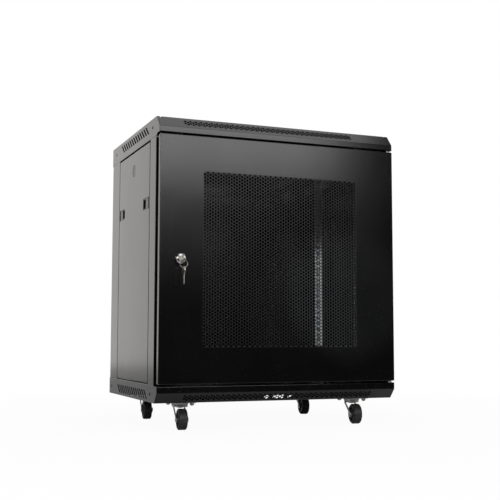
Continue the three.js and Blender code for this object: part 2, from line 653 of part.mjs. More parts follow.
function sidePanel() {
  const outer = box(HALF_W - PANEL_DEPTH, HALF_W, PANEL_FRONT, PANEL_REAR, PANEL_Z0, PANEL_Z1);
  const hollow = box(HALF_W - PANEL_DEPTH - 1, HALF_W - PANEL_SHEET, PANEL_FRONT + PANEL_SHEET,
    PANEL_REAR - PANEL_SHEET, PANEL_Z0 + PANEL_SHEET, PANEL_Z1 - PANEL_SHEET);
  const halfZ = LATCH.height / 2 + LATCH.play;
  const window = (y0, y1) => box(HALF_W - 4, HALF_W + 1, y0, y1, LATCH_Z - halfZ, LATCH_Z + halfZ);
  const front = PANEL_FRONT + LATCH.fromEdge;
  const rear = PANEL_REAR - LATCH.fromEdge;
  const x = HALF_W - LATCH.depth;
  const tongueZ = LATCH.tongueHeight / 2 + LATCH.play;
  const slot = (y) => box(x - LATCH.play, x + LATCH.tongueThick + LATCH.play, y - 2, y + 2,
    LATCH_Z - tongueZ, LATCH_Z + tongueZ);
  return cut(outer, [
    hollow, window(front, front + WINDOW), window(rear - WINDOW, rear),
    slot(PANEL_FRONT), slot(PANEL_REAR),
    rodX(BLANK.radius + BLANK.play, BLANK_Y, BLANK_Z, HALF_W - 4, HALF_W + 1, 24),
  ]);
}

// A slide latch, drawn for the front edge of the right-hand panel, drawn back
// from the post by its whole travel.
function frontLatch() {
  const x1 = HALF_W - 0.4;
  const x0 = HALF_W - LATCH.depth;
  const y0 = PANEL_FRONT + LATCH.fromEdge + LATCH.play + LATCH.travel;
  const y1 = y0 + LATCH.length;
  const half = LATCH.height / 2;
  const lipX = HALF_W - PANEL_SHEET - 0.4;
  const block = box(x0, x1, y0, y1, LATCH_Z - half, LATCH_Z + half);
  const lip = box(lipX - 2, lipX, y0, y1, LATCH_Z - half - LATCH.lip, LATCH_Z + half + LATCH.lip);
  const tongue = box(x0, x0 + LATCH.tongueThick, PANEL_FRONT + TOUCH, y0 + 1,
    LATCH_Z - LATCH.tongueHeight / 2, LATCH_Z + LATCH.tongueHeight / 2);
  const recess = box(x1 - LATCH.recessDepth, x1 + 1, y1 - LATCH.recess - 2, y1 - 2,
    LATCH_Z - half + 2.5, LATCH_Z + half - 2.5);
  return cut(joined([block, lip, tongue]), [recess]);
}

function rearLatch() {
  return frontLatch().mirror([0, 1, 0]).translate([0, PANEL_FRONT + PANEL_REAR, 0]);
}

function panelBlank() {
  const inner = HALF_W - PANEL_SHEET - TOUCH;
  return turned([
    [0, inner - 2], [BLANK.radius + BLANK.flange, inner - 2], [BLANK.radius + BLANK.flange, inner],
    [BLANK.radius, inner], [BLANK.radius, HALF_W - 0.2], [0, HALF_W - 0.2],
  ], 24).rotate([0, 90, 0]).translate([0, BLANK_Y, BLANK_Z]);
}

placePair('side_panel', sidePanel(), coat);
placePair('panel_blank', panelBlank(), plastic);
placePair('latch_front', frontLatch(), plastic);
placePair('latch_rear', rearLatch(), plastic);

// ---------------------------------------------------------------- casters
const HALF_TREAD = CASTER.tread / 2;
const ARM_IN = HALF_TREAD + CASTER.armPlay;
const ARM_OUT = ARM_IN + CASTER.arm;
const PLATE_TOP = BASE - TOUCH;
const PLATE_BOTTOM = PLATE_TOP - CASTER.plateThick;
const RACE_BOTTOM = PLATE_BOTTOM - CASTER.raceHeight;
const BRIDGE_TOP = RACE_BOTTOM - TOUCH;
const BRIDGE_BOTTOM = BRIDGE_TOP - CASTER.bridge;

// Local frame of a caster: the swivel axis is Z, the wheel trails towards -Y.
function casterPlate() {
  const half = CASTER.plate / 2;
  const plate = box(-half, half, -half, half, PLATE_BOTTOM, PLATE_TOP);
  const top = PLATE_BOTTOM + 1;
  const headTop = BRIDGE_BOTTOM - TOUCH;
  const race = turned([
    [0, headTop - 2.5], [CASTER.boss, headTop - 1.5], [CASTER.boss, headTop], [CASTER.pin, headTop],
    [CASTER.pin, RACE_BOTTOM], [CASTER.race - 2, RACE_BOTTOM], [CASTER.race, RACE_BOTTOM + 2],
    [CASTER.race, top], [0, top],
  ], 18);
  const bolt = half - 8;
  const holes = [[1, 1], [1, -1], [-1, 1], [-1, -1]].map(
    ([x, y]) => rodZ(3.3, x * bolt, y * bolt, PLATE_BOTTOM - 1, PLATE_TOP + 1, 8));
  return cut(plate.add(race), holes);
}

function casterFork() {
  const arm = new THREE.Shape();
  const lowY = -CASTER.trail;
  const lowZ = CASTER.wheel;
  const start = -Math.PI * 0.92;
  const end = Math.PI * 0.08;
  arm.moveTo(-CASTER.race + 3, BRIDGE_TOP);
  arm.absarc(lowY, lowZ, CASTER.boss, start, end, false);
  arm.lineTo(CASTER.race - 5, BRIDGE_BOTTOM - 2);
  arm.lineTo(CASTER.race - 5, BRIDGE_TOP);
  const arms = [prismX(arm, ARM_IN, ARM_OUT, 6), prismX(arm, -ARM_OUT, -ARM_IN, 6)];
  const bridge = rodZ(CASTER.race - 1, 0, 0, BRIDGE_BOTTOM, BRIDGE_TOP, 18);
  const pinHole = rodZ(CASTER.pin + TOUCH, 0, 0, BRIDGE_BOTTOM - 1, BRIDGE_TOP + 1, 18);
  const axleHole = rodX(CASTER.axle + TOUCH, lowY, lowZ, -ARM_OUT - 1, ARM_OUT + 1, 10);
  return cut(joined([...arms, bridge]), [pinHole, axleHole]);
}

function casterAxle() {
  const face = ARM_OUT + TOUCH;
  const head = CASTER.axle + 2;
  return turned([
    [0, -face - 1.8], [head, -face - 1], [head, -face], [CASTER.axle, -face],
    [CASTER.axle, face], [head, face], [head, face + 1], [0, face + 1.8],
  ], 10).rotate([0, 90, 0]).translate([0, -CASTER.trail, CASTER.wheel]);
}

function casterWheel() {
  const bore = CASTER.axle + TOUCH;
  const rim = CASTER.wheel;
  const side = (s) => [
    [bore, s * HALF_TREAD], [8, s * HALF_TREAD], [9, s * (HALF_TREAD - 3)],
    [rim - 8, s * (HALF_TREAD - 3)], [rim - 7, s * HALF_TREAD],
    [rim - 2, s * HALF_TREAD], [rim, s * (HALF_TREAD - 3)],
  ];
  const profile = [...side(-1), ...side(1).reverse(), [bore, -HALF_TREAD]];
  return turned(profile, 20).rotate([0, 90, 0]).translate([0, -CASTER.trail, CASTER.wheel]);
}

const casterParts = [
  ['plate', casterPlate(), zinc], ['fork', casterFork(), zinc],
  ['axle', casterAxle(), zinc], ['wheel', casterWheel(), tyre],
];
for (const [end, y] of [['front', -CASTER_Y], ['rear', CASTER_Y]]) {
  for (const [side, x] of [['left', -CASTER_X], ['right', CASTER_X]]) {
    const corner = new THREE.Group();
    corner.position.set(x, y, 0);
    body.add(corner);
    const swivel = new THREE.Group();
    swivel.rotation.z = -THREE.MathUtils.degToRad(CASTER.toe);
    corner.add(swivel);
    for (const [piece, shape, material] of casterParts) {
      place(`caster_${end}_${side}_${piece}`, shape, material(), piece === 'plate' ? corner : swivel);
    }
  }
}

export default cabinet;
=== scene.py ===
# %% [markdown]
# A small network cabinet. Its folded sheets, posts, rails, door, lock, keys, side panels
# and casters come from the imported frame, which says where each one is. What follows gives
# each part the finish and the fine shape of the real thing: round folds, punched
# perforation, screws, a sprung steel ring and cast wheels. Lengths are in metres.

# %% Load the frame
import json
import math

import bmesh
import bpy
import numpy as np
from mathutils import Matrix, Vector
from mathutils.geometry import delaunay_2d_cdt


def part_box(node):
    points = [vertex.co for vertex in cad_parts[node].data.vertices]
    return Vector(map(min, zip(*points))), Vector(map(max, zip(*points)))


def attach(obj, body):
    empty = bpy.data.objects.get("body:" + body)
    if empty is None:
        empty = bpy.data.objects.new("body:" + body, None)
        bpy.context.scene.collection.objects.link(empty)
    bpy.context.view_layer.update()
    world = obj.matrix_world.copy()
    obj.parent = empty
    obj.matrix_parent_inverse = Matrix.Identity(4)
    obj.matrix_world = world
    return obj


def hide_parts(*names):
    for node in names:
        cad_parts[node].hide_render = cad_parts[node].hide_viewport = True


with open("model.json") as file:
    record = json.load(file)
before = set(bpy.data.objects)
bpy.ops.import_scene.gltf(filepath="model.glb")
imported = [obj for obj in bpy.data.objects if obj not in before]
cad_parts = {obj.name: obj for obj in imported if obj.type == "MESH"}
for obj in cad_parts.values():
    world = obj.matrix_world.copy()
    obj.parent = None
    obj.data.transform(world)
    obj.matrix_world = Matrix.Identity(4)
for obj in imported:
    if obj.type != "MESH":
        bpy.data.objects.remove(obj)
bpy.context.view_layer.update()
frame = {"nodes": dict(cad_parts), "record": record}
MM = 0.001
scene = bpy.context.scene

# %% [markdown]
# The camera stands a little left of the door and looks slightly up, so that the left side,
# the whole door and the underside of the base all show. A camera can be aimed with
# a Track To constraint, but a matrix built from its three axes says exactly how it stands.

# %% Camera
CAMERA_AT = Vector((-0.86652, -2.18919, 0.21268))
YAW, PITCH, ROLL = (math.radians(a) for a in (21.641, 5.318, 0.128))
LENS, SENSOR = 66.56, 36.0


def aimed_matrix(place, yaw, pitch, roll):
    """Camera matrix. Forward is +Y turned by yaw towards +X and raised by pitch; roll turns
    the right and up axes about forward."""
    forward = Vector((math.sin(yaw) * math.cos(pitch), math.cos(yaw) * math.cos(pitch), math.sin(pitch)))
    level = Vector((math.cos(yaw), -math.sin(yaw), 0))
    upright = level.cross(forward)
    right = level * math.cos(roll) + upright * math.sin(roll)
    up = upright * math.cos(roll) - level * math.sin(roll)
    matrix = Matrix((right, up, -forward)).transposed().to_4x4()
    matrix.translation = place
    return matrix


camera_data = bpy.data.cameras.new("camera")
camera_data.lens = LENS
camera_data.sensor_width = SENSOR
camera_data.clip_end = 50
camera = bpy.data.objects.new("camera", camera_data)
scene.collection.objects.link(camera)
camera.matrix_world = aimed_matrix(CAMERA_AT, YAW, PITCH, ROLL)
scene.camera = camera
scene.view_settings.view_transform = "Standard"
print("camera", [round(v, 3) for v in CAMERA_AT], "lens", LENS)

# %% [markdown]
# Materials are sums of noises and masks. Written as nodes alone they are hard to read, so
# an output socket is wrapped in a small class: adding or multiplying two wrapped sockets
# adds the Math node that does it. Any other node comes from one method.

# %% Sockets that can be added and multiplied


class Value:
    """An output socket. Arithmetic on it adds Math nodes to its tree."""

    def __init__(self, finish, socket):
        self.finish, self.socket = finish, socket

    def math(self, operation, other):
        return self.finish.node("ShaderNodeMath", {"operation": operation}, {0: self, 1: other})

    def __add__(self, other):
        return self.math("ADD", other)

    def __mul__(self, other):
        return self.math("MULTIPLY", other)



class Finish:
    """A material with one Principled shader, and a method that adds nodes to it."""

    def __init__(self, name, constants):
        self.material = bpy.data.materials.new(name)
        self.material.use_nodes = True
        self.tree = self.material.node_tree
        self.shader = self.tree.nodes["Principled BSDF"]
        for key, value in constants.items():
            self.shader.inputs[key].default_value = value

    def node(self, kind, settings=None, inputs=None, output=0):
        made = self.tree.nodes.new(kind)
        for key, value in (settings or {}).items():
            if key == "stops":
                for element, (at, shade) in zip(made.color_ramp.elements, value):
                    element.position = at
                    element.color = (shade, shade, shade, 1)
            else:
                setattr(made, key, value)
        for key, value in (inputs or {}).items():
            if isinstance(value, Value):
                self.tree.links.new(value.socket, made.inputs[key])
            else:
                made.inputs[key].default_value = value
        return Value(self, made.outputs[output])

    def feed(self, socket, value):
        self.tree.links.new(value.socket, self.shader.inputs[socket])

    def place(self, scale=(1, 1, 1)):
        """Object coordinates, stretched: a small scale along an axis draws a pattern out along it."""
        at = self.node("ShaderNodeTexCoord", output="Object")
        return self.node("ShaderNodeMapping", inputs={"Vector": at, "Scale": scale})

    def noise(self, scale, detail=2.0, stretch=(1, 1, 1)):
        return self.node("ShaderNodeTexNoise", inputs={
            "Vector": self.place(stretch), "Scale": scale, "Detail": detail})

    def ramp(self, value, low, high, start=0.0, end=1.0):
        """A mask that climbs from start to end while the value goes from low to high."""
        return self.node("ShaderNodeMapRange", inputs={
            "Value": value, "From Min": low, "From Max": high, "To Min": start, "To Max": end})

    def tint(self, factor, first, second):
        return self.node("ShaderNodeMix", {"data_type": "RGBA"}, {0: factor, 6: first, 7: second}, 2)

    def bump(self, height, distance):
        self.feed("Normal", self.node("ShaderNodeBump", inputs={"Height": height, "Distance": distance}))

    def attribute(self, name):
        """A number stored at each point of the mesh; 0 where the mesh has none."""
        return self.node("ShaderNodeAttribute", {"attribute_name": name}, output="Fac")

    def upward(self):
        """1 on faces that look straight up, 0 on walls: where dust settles."""
        normal = self.node("ShaderNodeNewGeometry", output="Normal")
        parts = self.node("ShaderNodeSeparateXYZ", inputs={0: normal}, output="Z")
        return self.ramp(parts, 0.6, 1.0)


# %% [markdown]
# Every sheet is steel, powder coated black. The powder melts into a skin like orange
# peel, about a millimetre from crest to crest, over a finer grain. The skin is a bump from
# two noises. A slow noise makes the gloss uneven, and a little dust greys what faces up.
# Powder gathers in a bead round each punched hole, so the narrow webs of a perforated
# field are domed and shine softly from every side; there the surface is rougher.

# %% Black powder coat


def powder_coat():
    finish = Finish("black powder coat", {"IOR": 1.5})
    peel = finish.noise(820, 3.0)
    grain = finish.noise(2600, 2.0)
    waves = finish.noise(9, 1.0)
    speck = finish.ramp(finish.noise(300, 0.0), 0.74, 0.80)
    dust = finish.upward() * finish.ramp(finish.noise(14, 5.0), 0.35, 0.75, 0.25, 0.7)
    coat = finish.tint(waves, (0.0030, 0.0030, 0.0031, 1), (0.0044, 0.0043, 0.0043, 1))
    greyed = finish.tint(dust * 0.35, coat, (0.085, 0.08, 0.074, 1))
    finish.feed("Base Color", finish.tint(speck * 0.3, greyed, (0.05, 0.05, 0.05, 1)))
    gloss = finish.ramp(waves, 0.3, 0.7, 0.15, 0.175)
    finish.feed("Roughness", gloss + peel * 0.03 + dust * 0.2 + finish.attribute("beaded") * 0.2)
    finish.bump(peel + grain * 0.35 + waves * 6.0, 0.00003)
    return finish.material


COAT = powder_coat()

# %% [markdown]
# Rails and caster forks are zinc plated. Bright zinc is blue-white with faint yellow
# clouds, and its sheet keeps the rolling lines, which are noise drawn out along Z.

# %% Zinc plate


def zinc_plate():
    finish = Finish("zinc plate", {"Metallic": 1.0})
    clouds = finish.noise(38, 4.0)
    lines = finish.noise(900, 2.0, (1, 1, 0.04))
    handled = finish.noise(120, 6.0)
    bright = finish.tint(finish.ramp(clouds, 0.35, 0.68), (0.60, 0.62, 0.65, 1), (0.70, 0.67, 0.60, 1))
    dull = finish.ramp(handled, 0.55, 0.75, 0.0, 0.55)
    finish.feed("Base Color", finish.tint(dull, bright, (0.36, 0.36, 0.35, 1)))
    finish.feed("Roughness", finish.ramp(lines, 0.3, 0.7, 0.38, 0.50) + dull * 0.2)
    finish.bump(lines + handled * 0.8, 0.00002)
    return finish.material


def lock_chrome():
    finish = Finish("lock chrome", {"Metallic": 1.0})
    smudge = finish.noise(160, 5.0)
    finish.feed("Base Color", finish.tint(smudge, (0.80, 0.80, 0.81, 1), (0.70, 0.70, 0.70, 1)))
    finish.feed("Roughness", finish.ramp(smudge, 0.45, 0.75, 0.07, 0.24))
    finish.bump(finish.noise(1500, 2.0), 0.000004)
    return finish.material


def key_steel():
    finish = Finish("key steel", {"Metallic": 1.0})
    scratches = finish.noise(2400, 3.0, (1, 0.05, 1))
    wear = finish.noise(210, 4.0)
    finish.feed("Base Color", finish.tint(finish.ramp(wear, 0.45, 0.65),
                                          (0.66, 0.64, 0.60, 1), (0.60, 0.53, 0.40, 1)))
    finish.feed("Roughness", finish.ramp(scratches, 0.35, 0.7, 0.18, 0.34) + wear * 0.06)
    finish.bump(scratches, 0.00001)
    return finish.material


def black_plastic():
    finish = Finish("black plastic", {"IOR": 1.47})
    grain = finish.node("ShaderNodeTexVoronoi", inputs={"Vector": finish.place(), "Scale": 1900})
    rubbed = finish.noise(60, 4.0)
    finish.feed("Base Color", finish.tint(rubbed, (0.004, 0.004, 0.004, 1), (0.009, 0.009, 0.009, 1)))
    finish.feed("Roughness", finish.ramp(rubbed, 0.35, 0.7, 0.24, 0.32))
    finish.bump(grain, 0.00002)
    return finish.material


def caster_tread():
    finish = Finish("caster tread", {"IOR": 1.5})
    grit = finish.noise(340, 6.0)
    scuff = finish.attribute("tread") * finish.ramp(grit, 0.46, 0.66)
    finish.feed("Base Color", finish.tint(scuff * 0.6, (0.012, 0.012, 0.013, 1), (0.075, 0.07, 0.063, 1)))
    finish.feed("Roughness", finish.ramp(grit, 0.3, 0.7, 0.38, 0.5) + scuff * 0.3)
    finish.bump(grit, 0.00004)
    return finish.material


ZINC, CHROME, STEEL = zinc_plate(), lock_chrome(), key_steel()
PLASTIC, TREAD = black_plastic(), caster_tread()
FINISHES = {"black_powder_coat": COAT, "zinc_plate": ZINC, "lock_chrome": CHROME,
            "key_steel": STEEL, "black_plastic": PLASTIC, "caster_tread": TREAD}
SLOT_OF = {part["node"]: part["material_slot"] for part in frame["record"]["subparts"]}
BODY_OF = {node: body for body, nodes in frame["record"]["behaviour"]["bodies"].items() for node in nodes}
for node, part in frame["nodes"].items():
    part.data.materials.clear()
    part.data.materials.append(FINISHES[SLOT_OF[node]])
print("finishes", sorted(FINISHES))

# %% [markdown]
# A piece made here is an array of points and an array of faces. One helper puts them in
# a mesh, closes the seams, turns the faces outwards and ties the piece to its body. Flat
# faces beside round folds would shade as if they bulged, so normals are weighed by area.

# %% From arrays to a piece


def finish_piece(piece, body, slot, replaced=(), crease=32):
    piece.data.materials.clear()
    piece.data.materials.append(FINISHES[slot])
    piece.data.shade_smooth()
    piece.data.set_sharp_from_angle(angle=math.radians(crease))
    weigh = piece.modifiers.new("weighted normals", "WEIGHTED_NORMAL")
    weigh.keep_sharp = True
    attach(piece, body)
    if replaced:
        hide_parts(*replaced)
    return piece


def new_piece(name, points, faces, body, slot, replaced=(), crease=32, attribute=None):
    mesh = bpy.data.meshes.new(name)
    mesh.from_pydata(np.asarray(points, float).tolist(), [], faces)
    if attribute:
        made = mesh.attributes.new(attribute[0], "FLOAT", "POINT")
        made.data.foreach_set("value", np.asarray(attribute[1], np.float32))
    shape = bmesh.new()
    shape.from_mesh(mesh)
    bmesh.ops.remove_doubles(shape, verts=shape.verts, dist=1e-6)
    bmesh.ops.recalc_face_normals(shape, faces=shape.faces)
    shape.to_mesh(mesh)
    shape.free()
    piece = bpy.data.objects.new(name, mesh)
    scene.collection.objects.link(piece)
    print(name, len(mesh.vertices), "points", len(mesh.polygons), "faces")
    return finish_piece(piece, body, slot, replaced, crease)


# %% [markdown]
# Sheet metal starts as a flat pattern: an outline, its fold lines and its punched holes.
# A constrained Delaunay triangulation fills the pattern, and a triangle whose corners all
# lie on one hole is that hole's own, so it is dropped. The brake then bends the pattern.

# %% Flat pattern


def flat_pattern(outline, lines, holes):
    """Points and triangles of a flat sheet, and 1 for each point on a hole of a perforated
    field. outline is a ring of points, lines are pairs of points, and each array in holes
    has the shape (hole, corner, 2)."""
    outline, lines = np.asarray(outline, float), np.asarray(lines, float).reshape(-1, 2)
    ring = np.arange(len(outline))
    points, owner = [outline, lines], [np.full(len(outline) + len(lines), -1)]
    first = len(outline) + len(lines)
    edges = [np.stack([ring, np.roll(ring, -1)], 1), np.arange(len(outline), first).reshape(-1, 2)]
    many = [np.zeros(first)]
    for group in holes:
        count, corners = group.shape[:2]
        index = first + np.arange(count * corners).reshape(count, corners)
        edges.append(np.stack([index, np.roll(index, -1, 1)], -1).reshape(-1, 2))
        owner.append(np.repeat(first + np.arange(count), corners))
        points.append(group.reshape(-1, 2))
        many.append(np.full(count * corners, float(count > 1)))
        first += count * corners
    owner, many = np.concatenate(owner), np.concatenate(many)
    flat = delaunay_2d_cdt([Vector(p) for p in np.vstack(points)], np.vstack(edges).tolist(), [], 1, 1e-7)
    kept = np.array([owner[source[0]] if source else -1 for source in flat[3]])
    beaded = np.array([many[source[0]] if source else 0 for source in flat[3]])
    triangles = np.array(flat[2])
    mine = kept[triangles]
    inside_hole = (mine[:, 0] >= 0) & (mine[:, 0] == mine[:, 1]) & (mine[:, 1] == mine[:, 2])
    return np.array([tuple(p) for p in flat[0]]), triangles[~inside_hole], beaded


def thickened(outer, inner, triangles):
    """Closes a sheet: the outer skin, the inner skin turned over, and a wall along every
    edge that only one triangle uses. outer and inner are matching points."""
    sides = np.vstack([triangles[:, [0, 1]], triangles[:, [1, 2]], triangles[:, [2, 0]]])
    _, at, count = np.unique(np.sort(sides, 1), axis=0, return_index=True, return_counts=True)
    rim = sides[at[count == 1]]
    walls = np.column_stack([rim[:, 1], rim[:, 0], rim[:, 0] + len(outer), rim[:, 1] + len(outer)])
    faces = triangles.tolist() + (triangles[:, ::-1] + len(outer)).tolist() + walls.tolist()
    return np.vstack([outer, inner]), faces


# %% [markdown]
# A fold is an arc between two flats. The outer face of the sheet follows a chain of
# corners; each corner gives way to an arc, and the path is kept as knots of developed
# length, place and direction inwards. Between knots the sheet is flat, so plain
# interpolation carries a whole array of pattern points onto the folded sheet.

# %% Folding
INNER_RADIUS = 0.4 * MM
FOLD_STEPS = 5


class Folds:
    """A rounded path in a plane with the sheet on the left of its direction."""

    def __init__(self, chain, sheet):
        chain = [np.array(point, float) for point in chain]
        places, inward = [chain[0]], []
        heading = [(b - a) / np.linalg.norm(b - a) for a, b in zip(chain, chain[1:])]
        left = [np.array([-h[1], h[0]]) for h in heading]
        inward.append(left[0])
        for corner, before, after, side in zip(chain[1:], heading, heading[1:], left):
            turn = math.atan2(before[0] * after[1] - before[1] * after[0], before @ after)
            radius = INNER_RADIUS + (sheet if turn > 0 else 0)
            start = corner - before * radius * math.tan(abs(turn) / 2)
            centre = start + side * math.copysign(radius, turn)
            for swing in np.linspace(0, turn, FOLD_STEPS + 1):
                c, s = math.cos(swing), math.sin(swing)
                normal = np.array([c * side[0] - s * side[1], s * side[0] + c * side[1]])
                places.append(centre - normal * math.copysign(radius, turn))
                inward.append(normal)
        places.append(chain[-1])
        inward.append(left[-1])
        self.places, self.inward = np.array(places), np.array(inward)
        steps = np.linalg.norm(np.diff(self.places, axis=0), axis=1)
        self.knots = np.concatenate([[0], np.cumsum(steps)])
        self.length = self.knots[-1]

    def at(self, length):
        """(place, inward normal) for an array of developed lengths."""
        across = [np.interp(length, self.knots, self.places[:, i]) for i in (0, 1)]
        normal = [np.interp(length, self.knots, self.inward[:, i]) for i in (0, 1)]
        return across, normal

    def length_to(self, axis, value, after=0.0, before=1e9):
        """The developed length at which the path crosses a value of one coordinate."""
        s = np.linspace(after, min(before, self.length), 4001)
        at, _ = self.at(s)
        return s[np.argmin(np.abs(at[axis] - value))]


angle_iron = Folds([(0, 0), (20 * MM, 0), (20 * MM, 20 * MM)], 1.5 * MM)
print("20 + 20 mm round a fold develops to", round(angle_iron.length / MM, 2), "mm")


# %% [markdown]
# Perforation is punched in staggered columns: each column is half a pitch higher than the
# last, and the columns are the pitch times the cosine of 30 degrees apart, so every hole
# is the same distance from its six neighbours.

# %% Punched patterns
STAGGER = math.cos(math.radians(30))


def ring_of(radius, corners, turn=0.0):
    angle = (np.arange(corners) + turn) / corners * 2 * np.pi
    return np.stack([np.cos(angle), np.sin(angle)], -1) * radius


def staggered(low, high, centre, rows, pitch, radius, corners):
    """Rings of holes between low and high along the first axis, rows half a pitch apart along
    the second, as one array (hole, corner, 2)."""
    columns = int((high - low - 2 * radius) / (pitch * STAGGER)) + 1
    column, row = np.meshgrid(np.arange(columns), np.arange(rows), indexing="ij")
    used = (column + row) % 2 == 0
    along = (low + high) / 2 + (column[used] - (columns - 1) / 2) * pitch * STAGGER
    across = centre + (row[used] - (rows - 1) / 2) * pitch / 2
    return np.stack([along, across], -1)[:, None, :] + ring_of(radius, corners, 0.5)


def field_edge(field, margin):
    """Four lines round a perforated field, which keep its beads to itself."""
    low, high = field.min((0, 1)) - margin, field.max((0, 1)) + margin
    ring = [(low[0], low[1]), (high[0], low[1]), (high[0], high[1]), (low[0], high[1])]
    return list(zip(ring, ring[1:] + ring[:1]))


def one_hole(along, across, shape):
    return (np.array([along, across]) + shape)[None]


print("a ring of six", ring_of(1.0, 6).round(2).tolist())


# %% [markdown]
# The front sheet of the roof and that of the base are long folded strips. Seen from the
# end, the roof's runs from its top lip over a slanted chamfer down a band to a flange; the
# base's ends in a hem folded back up behind its chamfer, with a slot and two round holes.
# The chamfers are perforated, so that air gets in below and out above the door.

# %% Roof and base fascias
SHEET = 1.5 * MM
AIR = 0.3 * MM
MESH_PITCH, MESH_HOLE, CHAMFER_ROWS = 7.5 * MM, 3.15 * MM, 4
FIELD_MARGIN = 1.0 * MM
ROOF_BACK, ROOF_DROP, ROOF_LIP = 22 * MM, 26 * MM, 13 * MM
BASE_BACK, BASE_RISE = 20 * MM, 22.4 * MM
HEM_SETBACK, HEM_LENGTH, HEM_ALONG = 8 * MM, 24 * MM, 13 * MM
HEM_SLOT, HEM_BORE, HEM_SPACING = 29 * MM, 12 * MM, 29.5 * MM
BAND_FLANGE = 21 * MM
PIN_HOLE = 2.9 * MM
RELIEF_WIDTH, RELIEF_INSET, RELIEF_LENGTH = 4 * MM, 5.5 * MM, 17.6 * MM
pin_low, pin_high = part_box("hinge_pin_bottom")
HINGE_X, HINGE_Y = (pin_low.x + pin_high.x) / 2, (pin_low.y + pin_high.y) / 2


def strip(name, node, chain, notches, holes_for):
    """A folded strip along X. The pattern's first axis is X and its second is the developed
    length of the chain, which lies in the YZ plane."""
    low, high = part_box(node)
    folds = Folds(chain, SHEET)
    outline = [(low.x, 0), *notches, (high.x, 0), (high.x, folds.length), (low.x, folds.length)]
    lines = [((low.x, k), (high.x, k)) for k in folds.knots[1:-1] if k > RELIEF_LENGTH or not notches]
    if notches:
        xs = [low.x, *[p[0] for p in notches[::2]], high.x]
        for knot in folds.knots[1:-1]:
            if knot <= RELIEF_LENGTH:
                lines += [((a, knot), (b, knot)) for a, b in zip(xs[::2], xs[1::2])]
    holes = holes_for(folds)
    lines += field_edge(holes[0], FIELD_MARGIN)
    points, triangles, beaded = flat_pattern(outline, lines, holes)
    (y, z), (ny, nz) = folds.at(points[:, 1])
    outer = np.column_stack([points[:, 0], y, z])
    inner = outer + SHEET * np.column_stack([np.zeros(len(y)), ny, nz])
    made = thickened(outer, inner, triangles)
    return new_piece(name, *made, BODY_OF[node], SLOT_OF[node], [node],
                     attribute=("beaded", np.tile(beaded, 2)))


def roof_fascia():
    low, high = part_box("roof_front_fascia")
    crest = high.y - ROOF_LIP
    chain = [(high.y, high.z), (crest, high.z), (low.y, high.z - ROOF_DROP), (low.y, low.z),
             (low.y + BAND_FLANGE, low.z)]
    notch_end = high.x - RELIEF_INSET + AIR
    edges = sorted(side * (notch_end - far) for side in (-1, 1) for far in (0, RELIEF_WIDTH))
    notches = [point for a, b in zip(edges[::2], edges[1::2])
               for point in ((a, 0), (a, RELIEF_LENGTH), (b, RELIEF_LENGTH), (b, 0))]

    def holes(folds):
        middle = ROOF_LIP + math.hypot(ROOF_BACK, ROOF_DROP) / 2
        flange = folds.length_to(0, HINGE_Y, after=folds.length - BAND_FLANGE / 1.2)
        return [staggered(-240 * MM, 192 * MM, middle, CHAMFER_ROWS, MESH_PITCH, MESH_HOLE, 12),
                one_hole(HINGE_X, flange, ring_of(PIN_HOLE, 20))]

    return strip("roof_fascia_sheet", "roof_front_fascia", chain, notches, holes)


def base_fascia():
    low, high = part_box("base_front_fascia")
    slope = math.hypot(BASE_BACK, BASE_RISE)
    hem = (low.y + BASE_BACK + HEM_SETBACK, low.z)
    tip = (hem[0] - BASE_BACK / slope * HEM_LENGTH, hem[1] + BASE_RISE / slope * HEM_LENGTH)
    chain = [(low.y + BAND_FLANGE, high.z), (low.y, high.z), (low.y, low.z + BASE_RISE),
             (low.y + BASE_BACK, low.z), hem, tip]

    def holes(folds):
        flange = folds.length_to(0, HINGE_Y, before=BAND_FLANGE / 1.2)
        middle = folds.length_to(1, low.z + BASE_RISE / 2, before=folds.length - HEM_LENGTH)
        hem_at = folds.length - HEM_LENGTH + HEM_ALONG
        half = np.array([HEM_SLOT, HEM_BORE]) / 2
        slot = np.array([(-1, -1), (1, -1), (1, 1), (-1, 1)]) * half
        bore = ring_of(HEM_BORE / 2, 24)
        return [staggered(-239 * MM, 241 * MM, middle, CHAMFER_ROWS, MESH_PITCH, MESH_HOLE, 12),
                one_hole(HINGE_X, flange, ring_of(PIN_HOLE, 20)), one_hole(0, hem_at, slot),
                one_hole(-HEM_SPACING, hem_at, bore), one_hole(HEM_SPACING, hem_at, bore)]

    return strip("base_fascia_sheet", "base_front_fascia", chain, [], holes)


roof_fascia()
base_fascia()

# %% [markdown]
# The door is one sheet folded back on all four sides and again inwards, with a field of
# 6 mm holes punched in it. Its pattern has a flap on each side, mitred where the lips
# meet, and a small square relief at each corner, as a press brake needs.

# %% Door skin
DOOR_SHEET = 1.2 * MM
DOOR_LIP = 11 * MM
MESH_HALF, MESH_LOW, MESH_HIGH = 198 * MM, 186.5 * MM, 588.5 * MM
BARREL_HOLE = 9.5 * MM
barrel_low, barrel_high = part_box("lock_barrel")
LOCK_X, LOCK_Z = (barrel_low.x + barrel_high.x) / 2, (barrel_low.z + barrel_high.z) / 2


